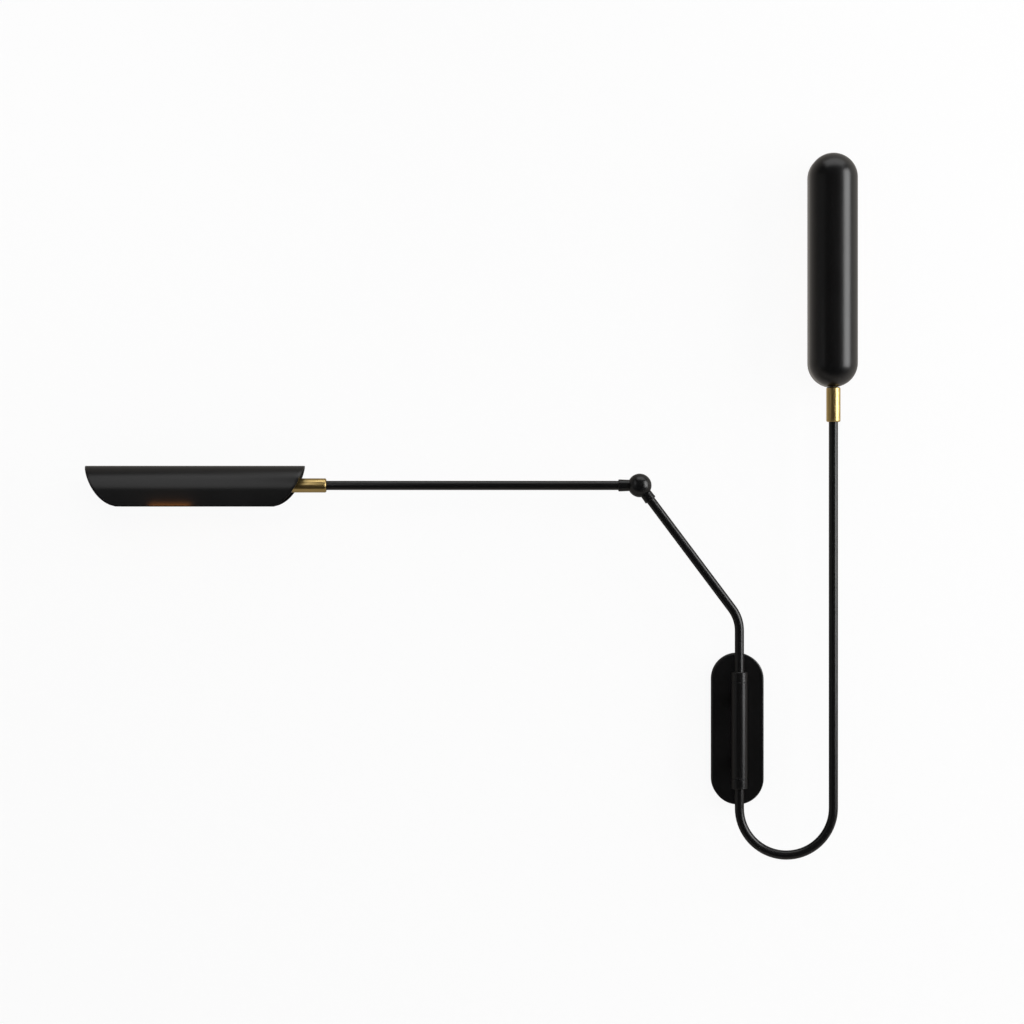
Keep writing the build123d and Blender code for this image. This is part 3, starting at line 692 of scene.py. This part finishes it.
def socket_screw(bm, diameter, length, key, depth, place):
    """Adds a headless screw from z = 0 downwards, with a socket this wide over its flats."""
    screw = bmesh.new()
    add_rod(screw, diameter, length, Matrix.Translation((0, 0, -length / 2 * mm)))
    soften(screw, sharp_edges(screw, 60), end_rounding, 1)
    driven = max(screw.faces, key=lambda face: face.calc_center_median().z)
    bmesh.ops.inset_region(screw, faces=[driven], thickness=socket_rim * mm)
    for vert in driven.verts:
        turn = atan2(vert.co.y, vert.co.x) % radians(60) - radians(30)
        vert.co.xy = vert.co.xy.normalized() * key / 2 / cos(turn) * mm
    bottom = bmesh.ops.extrude_discrete_faces(screw, faces=[driven])["faces"][0]
    bmesh.ops.translate(screw, verts=bottom.verts, vec=(0, 0, -depth * mm))
    bmesh.ops.recalc_face_normals(screw, faces=screw.faces)
    add_copy(bm, screw, place)


# %% Socket screws where the CAD screws sit
for name, body, finish, ways, diameter, length, key, depth in (
    ("upper_collar_screw", "upper_arm", zinc_thread_y, [(0, 1, 0)], 3.0, 3.2, 1.5, 1.4),
    ("lower_collar_screw", "lower_arm", zinc_thread_y, [(0, 1, 0)], 3.0, 3.2, 1.5, 1.4),
    ("canopy_screws", "wall_mount", zinc_thread_z, [(0, 0, 1), (0, 0, -1)], 4.0, 12.0, 2.0, 2.4),
):
    low, high = (Vector(corner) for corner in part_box(name))
    screws = bmesh.new()
    for way in ways:
        reach = (high - low).dot([abs(part) for part in way]) / 2
        end = (low + high) / 2 + Vector(way) * reach
        turned = Vector(way).to_track_quat("Z", "Y").to_matrix().to_4x4()
        socket_screw(screws, diameter, length, key, depth, Matrix.Translation(end) @ turned)
    finish_piece(f"pressed_{name}", screws, Matrix.Identity(4), body, finish, [name])

# %% [markdown]
# ## Studio: a pale wall and floor
# The lamp hangs on a plain pale wall over a pale floor. The wall is one plane just behind the
# lamp, seen only from its front, so that a look from behind still shows the lamp. To the camera
# and through glass it is mostly a fixed white with a small share of real lit paint, which keeps
# the soft shadows. Reflections meet a fixed level too, softer than white, which drifts along one
# axis: the wall is paler to the right, and the floor is pale only near the wall. All other light
# meets plain paint.
#
# Round the wall plate, where the lamp shades its own wall, the mirrored level falls off. Behind
# the plate the wall is open, so that a look from behind finds the bracket in the light. Both go
# by the distance from the plate's middle line, and the floor is too far below for either.

# %% Distance from the wall plate
plate_low, plate_high = (Vector(corner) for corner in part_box("canopy"))
plate_radius = (plate_high.x - plate_low.x) / 2
half_line = (plate_high.z - plate_low.z) / 2 - plate_radius
print("plate radius", round(plate_radius / mm), "mm, half line", round(half_line / mm), "mm")


def distance_from_plate(tree, point, height):
    """How far a point is from the plate's upright middle line, seen from the front."""
    nearest = add_node(tree, "ShaderNodeClamp", {"Value": height, "Min": -half_line,
                                                 "Max": half_line})
    nearest = add_node(tree, "ShaderNodeCombineXYZ", {"Z": nearest.outputs["Result"]})
    flat = add_node(tree, "ShaderNodeVectorMath", {0: point, 1: (1, 0, 1)}, operation="MULTIPLY")
    distance = add_node(tree, "ShaderNodeVectorMath", {0: flat.outputs["Vector"],
                                                       1: nearest.outputs["Vector"]},
                        operation="DISTANCE")
    return distance.outputs["Value"]


# %% Kinds of ray
def kinds_of_ray(tree):
    """Two factors of 0 or 1: for camera rays, also through glass, and for glossy rays."""
    path = add_node(tree, "ShaderNodeLightPath")
    seen = add_node(tree, "ShaderNodeMath", {0: path.outputs["Is Camera Ray"],
                                             1: path.outputs["Is Transmission Ray"]},
                    operation="MAXIMUM")
    return seen.outputs[0], path.outputs["Is Glossy Ray"]


# %% Studio paint
fixed_share = 0.94
shaded_from, shaded_to, shaded_level = 55 * mm, 320 * mm, 0.15
opening_inset = 3 * mm


def studio_paint(name, axis, near, far):
    """Pale paint whose mirrored level goes from near to far, each a place and a level."""
    paint = bpy.data.materials.new(name)
    paint.use_nodes = True
    tree = paint.node_tree
    tree.nodes.clear()
    seen, in_gloss = kinds_of_ray(tree)
    share = add_node(tree, "ShaderNodeMath", {0: seen, 1: fixed_share}, operation="MULTIPLY")
    matt = add_node(tree, "ShaderNodeBsdfDiffuse", {"Color": linear("#ececec")})
    white = add_node(tree, "ShaderNodeEmission", {"Color": linear("#fdfdfd"), "Strength": 1.0})
    front = add_node(tree, "ShaderNodeMixShader", {"Fac": share.outputs[0], 1: matt.outputs[0],
                                                   2: white.outputs[0]})
    point = object_point(tree)
    place = add_node(tree, "ShaderNodeSeparateXYZ", {"Vector": point})
    level = add_node(tree, "ShaderNodeMapRange", {"Value": place.outputs[axis], "From Min": near[0],
                                                  "From Max": far[0], "To Min": near[1],
                                                  "To Max": far[1]})
    from_plate = distance_from_plate(tree, point, place.outputs["Z"])
    shade = add_node(tree, "ShaderNodeMapRange", {"Value": from_plate, "From Min": shaded_from,
                                                  "From Max": shaded_to, "To Min": shaded_level,
                                                  "To Max": 1.0})
    strength = add_node(tree, "ShaderNodeMath", {0: level.outputs["Result"],
                                                 1: shade.outputs["Result"]}, operation="MULTIPLY")
    mirrored = add_node(tree, "ShaderNodeEmission", {"Color": linear("#fdf6ee"),
                                                     "Strength": strength.outputs[0]})
    front = add_node(tree, "ShaderNodeMixShader", {"Fac": in_gloss, 1: front.outputs[0],
                                                   2: mirrored.outputs[0]})
    behind_plate = add_node(tree, "ShaderNodeMath", {0: from_plate,
                                                     1: plate_radius - opening_inset},
                            operation="LESS_THAN")
    side = add_node(tree, "ShaderNodeNewGeometry")
    open_here = add_node(tree, "ShaderNodeMath", {0: side.outputs["Backfacing"],
                                                  1: behind_plate.outputs[0]}, operation="MAXIMUM")
    clear = add_node(tree, "ShaderNodeBsdfTransparent")
    surface = add_node(tree, "ShaderNodeMixShader", {"Fac": open_here.outputs[0],
                                                     1: front.outputs[0], 2: clear.outputs[0]})
    add_node(tree, "ShaderNodeOutputMaterial", {"Surface": surface.outputs[0]})
    return paint


# %% Studio wall and floor
def studio_plane(name, size, place, paint):
    """A square stage plane that faces its own +Z before it is placed."""
    bm = bmesh.new()
    bmesh.ops.create_grid(bm, x_segments=1, y_segments=1, size=size / 2, matrix=place)
    mesh = bpy.data.meshes.new(name)
    bm.to_mesh(mesh)
    bm.free()
    mesh.materials.append(paint)
    plane = bpy.data.objects.new(name, mesh)
    bpy.context.scene.collection.objects.link(plane)
    print(name, size, "m square")


stage_x, floor_z = -0.3, -0.9
wall_size, floor_size = 7.0, 12.0
wall_gap = 1.5 * mm
wall_middle = Matrix.Translation((stage_x, wall_gap, floor_z + wall_size / 2))
facing_room = Matrix.Rotation(radians(90), 4, "X")
studio_plane("studio_wall", wall_size, wall_middle @ facing_room,
             studio_paint("pale_wall_paint", "X", near=(-0.2, 0.28), far=(0.3, 0.7)))
studio_plane("studio_floor", floor_size, Matrix.Translation((stage_x, 0, floor_z)),
             studio_paint("pale_floor_paint", "Y", near=(-0.45, 0.4), far=(-0.85, 0.03)))

# %% [markdown]
# ## Studio light
# Satin black shows almost nothing but reflections, so the lights are placed where the photograph
# shows them in the shapes. The bright line down the right of the dome is a tall strip light round
# to the right, and the patches on top of the ball and of the dome are a long light overhead. The
# hood has a card of its own, nearer and lower, and a small warm light stands for what its lamp
# spills on the rim. A dim light far to the left lifts what faces that way. A fill from the
# camera's side lights the matt part of every colour but stays out of the reflections, which keeps
# the front of the plate deep. Each light is given by its brightness, and Blender asks for its
# power, which is that brightness times pi and the area of the light.


# %% Lights
def area_light(name, place, aim, size, level, colour="#ffffff", shines=True):
    """A rectangle of this brightness, turned towards a point; shines lets it show in gloss."""
    width, height = size
    data = bpy.data.lights.new(name, "AREA")
    data.shape = "RECTANGLE"
    data.size, data.size_y = width, height
    data.energy = level * pi * width * height
    data.color = linear(colour)[:3]
    lamp = bpy.data.objects.new(name, data)
    lamp.location = place
    lamp.rotation_euler = (Vector(aim) - Vector(place)).to_track_quat("-Z", "Y").to_euler()
    lamp.visible_camera = False
    lamp.visible_glossy = shines
    bpy.context.scene.collection.objects.link(lamp)
    print(name, round(data.energy, 1), "W")


area_light("tall_right", place=(1.71, -0.915, 0.8), aim=(0.12, -0.07, 0.8), size=(1.05, 1.8),
           level=6.0)
area_light("overhead", place=(0.24, -0.5, 1.95), aim=(0.24, -0.5, 0.3), size=(1.92, 0.95),
           level=1.7)
area_light("hood_card", place=(-0.896, -0.579, 0.798), aim=(-1.256, -0.069, 0.338),
           size=(0.64, 0.88), level=0.95)
area_light("shade_spill", place=(-0.739, -0.103, 0.2917), aim=(-0.739, -0.05, 0.2917),
           size=(0.053, 0.004), level=6.5, colour="#ff9c40")
area_light("left_fill", place=(-2.4, -1.15, 0.35), aim=(-0.2, -0.05, 0.35), size=(2.2, 1.9),
           level=0.18)
area_light("front_fill", place=(0.6, -3.2, 1.2), aim=(-0.2, 0, 0.25), size=(2.5, 2.5), level=2.1,
           shines=False)

# %% [markdown]
# ## The room
# The world is the rest of the room. The camera sees it white; to reflections it is a dim warm
# grey that turns paler on the side of the wall; to all other light it is a soft even fill.

# %% World
fill_level = 0.25
world = bpy.data.worlds.new("studio_room")
bpy.context.scene.world = world
world.use_nodes = True
tree = world.node_tree
tree.nodes.clear()
seen, in_gloss = kinds_of_ray(tree)
heading = add_node(tree, "ShaderNodeSeparateXYZ",
                   {"Vector": add_node(tree, "ShaderNodeTexCoord").outputs["Generated"]})
mirrored_level = add_node(tree, "ShaderNodeMapRange",
                          {"Value": heading.outputs["Y"], "From Min": -0.05, "From Max": 0.15,
                           "To Min": 0.03, "To Max": 0.4})
fill = add_node(tree, "ShaderNodeBackground", {"Color": linear("#ffffff"),
                                               "Strength": fill_level})
mirrored = add_node(tree, "ShaderNodeBackground", {"Color": linear("#fff0dc"),
                                                   "Strength": mirrored_level.outputs["Result"]})
white = add_node(tree, "ShaderNodeBackground", {"Color": linear("#fdfdfd"), "Strength": 1.0})
room = add_node(tree, "ShaderNodeMixShader", {"Fac": in_gloss, 1: fill.outputs[0],
                                              2: mirrored.outputs[0]})
room = add_node(tree, "ShaderNodeMixShader", {"Fac": seen, 1: room.outputs[0],
                                              2: white.outputs[0]})
add_node(tree, "ShaderNodeOutputWorld", {"Surface": room.outputs[0]})
print("room fill", fill_level)
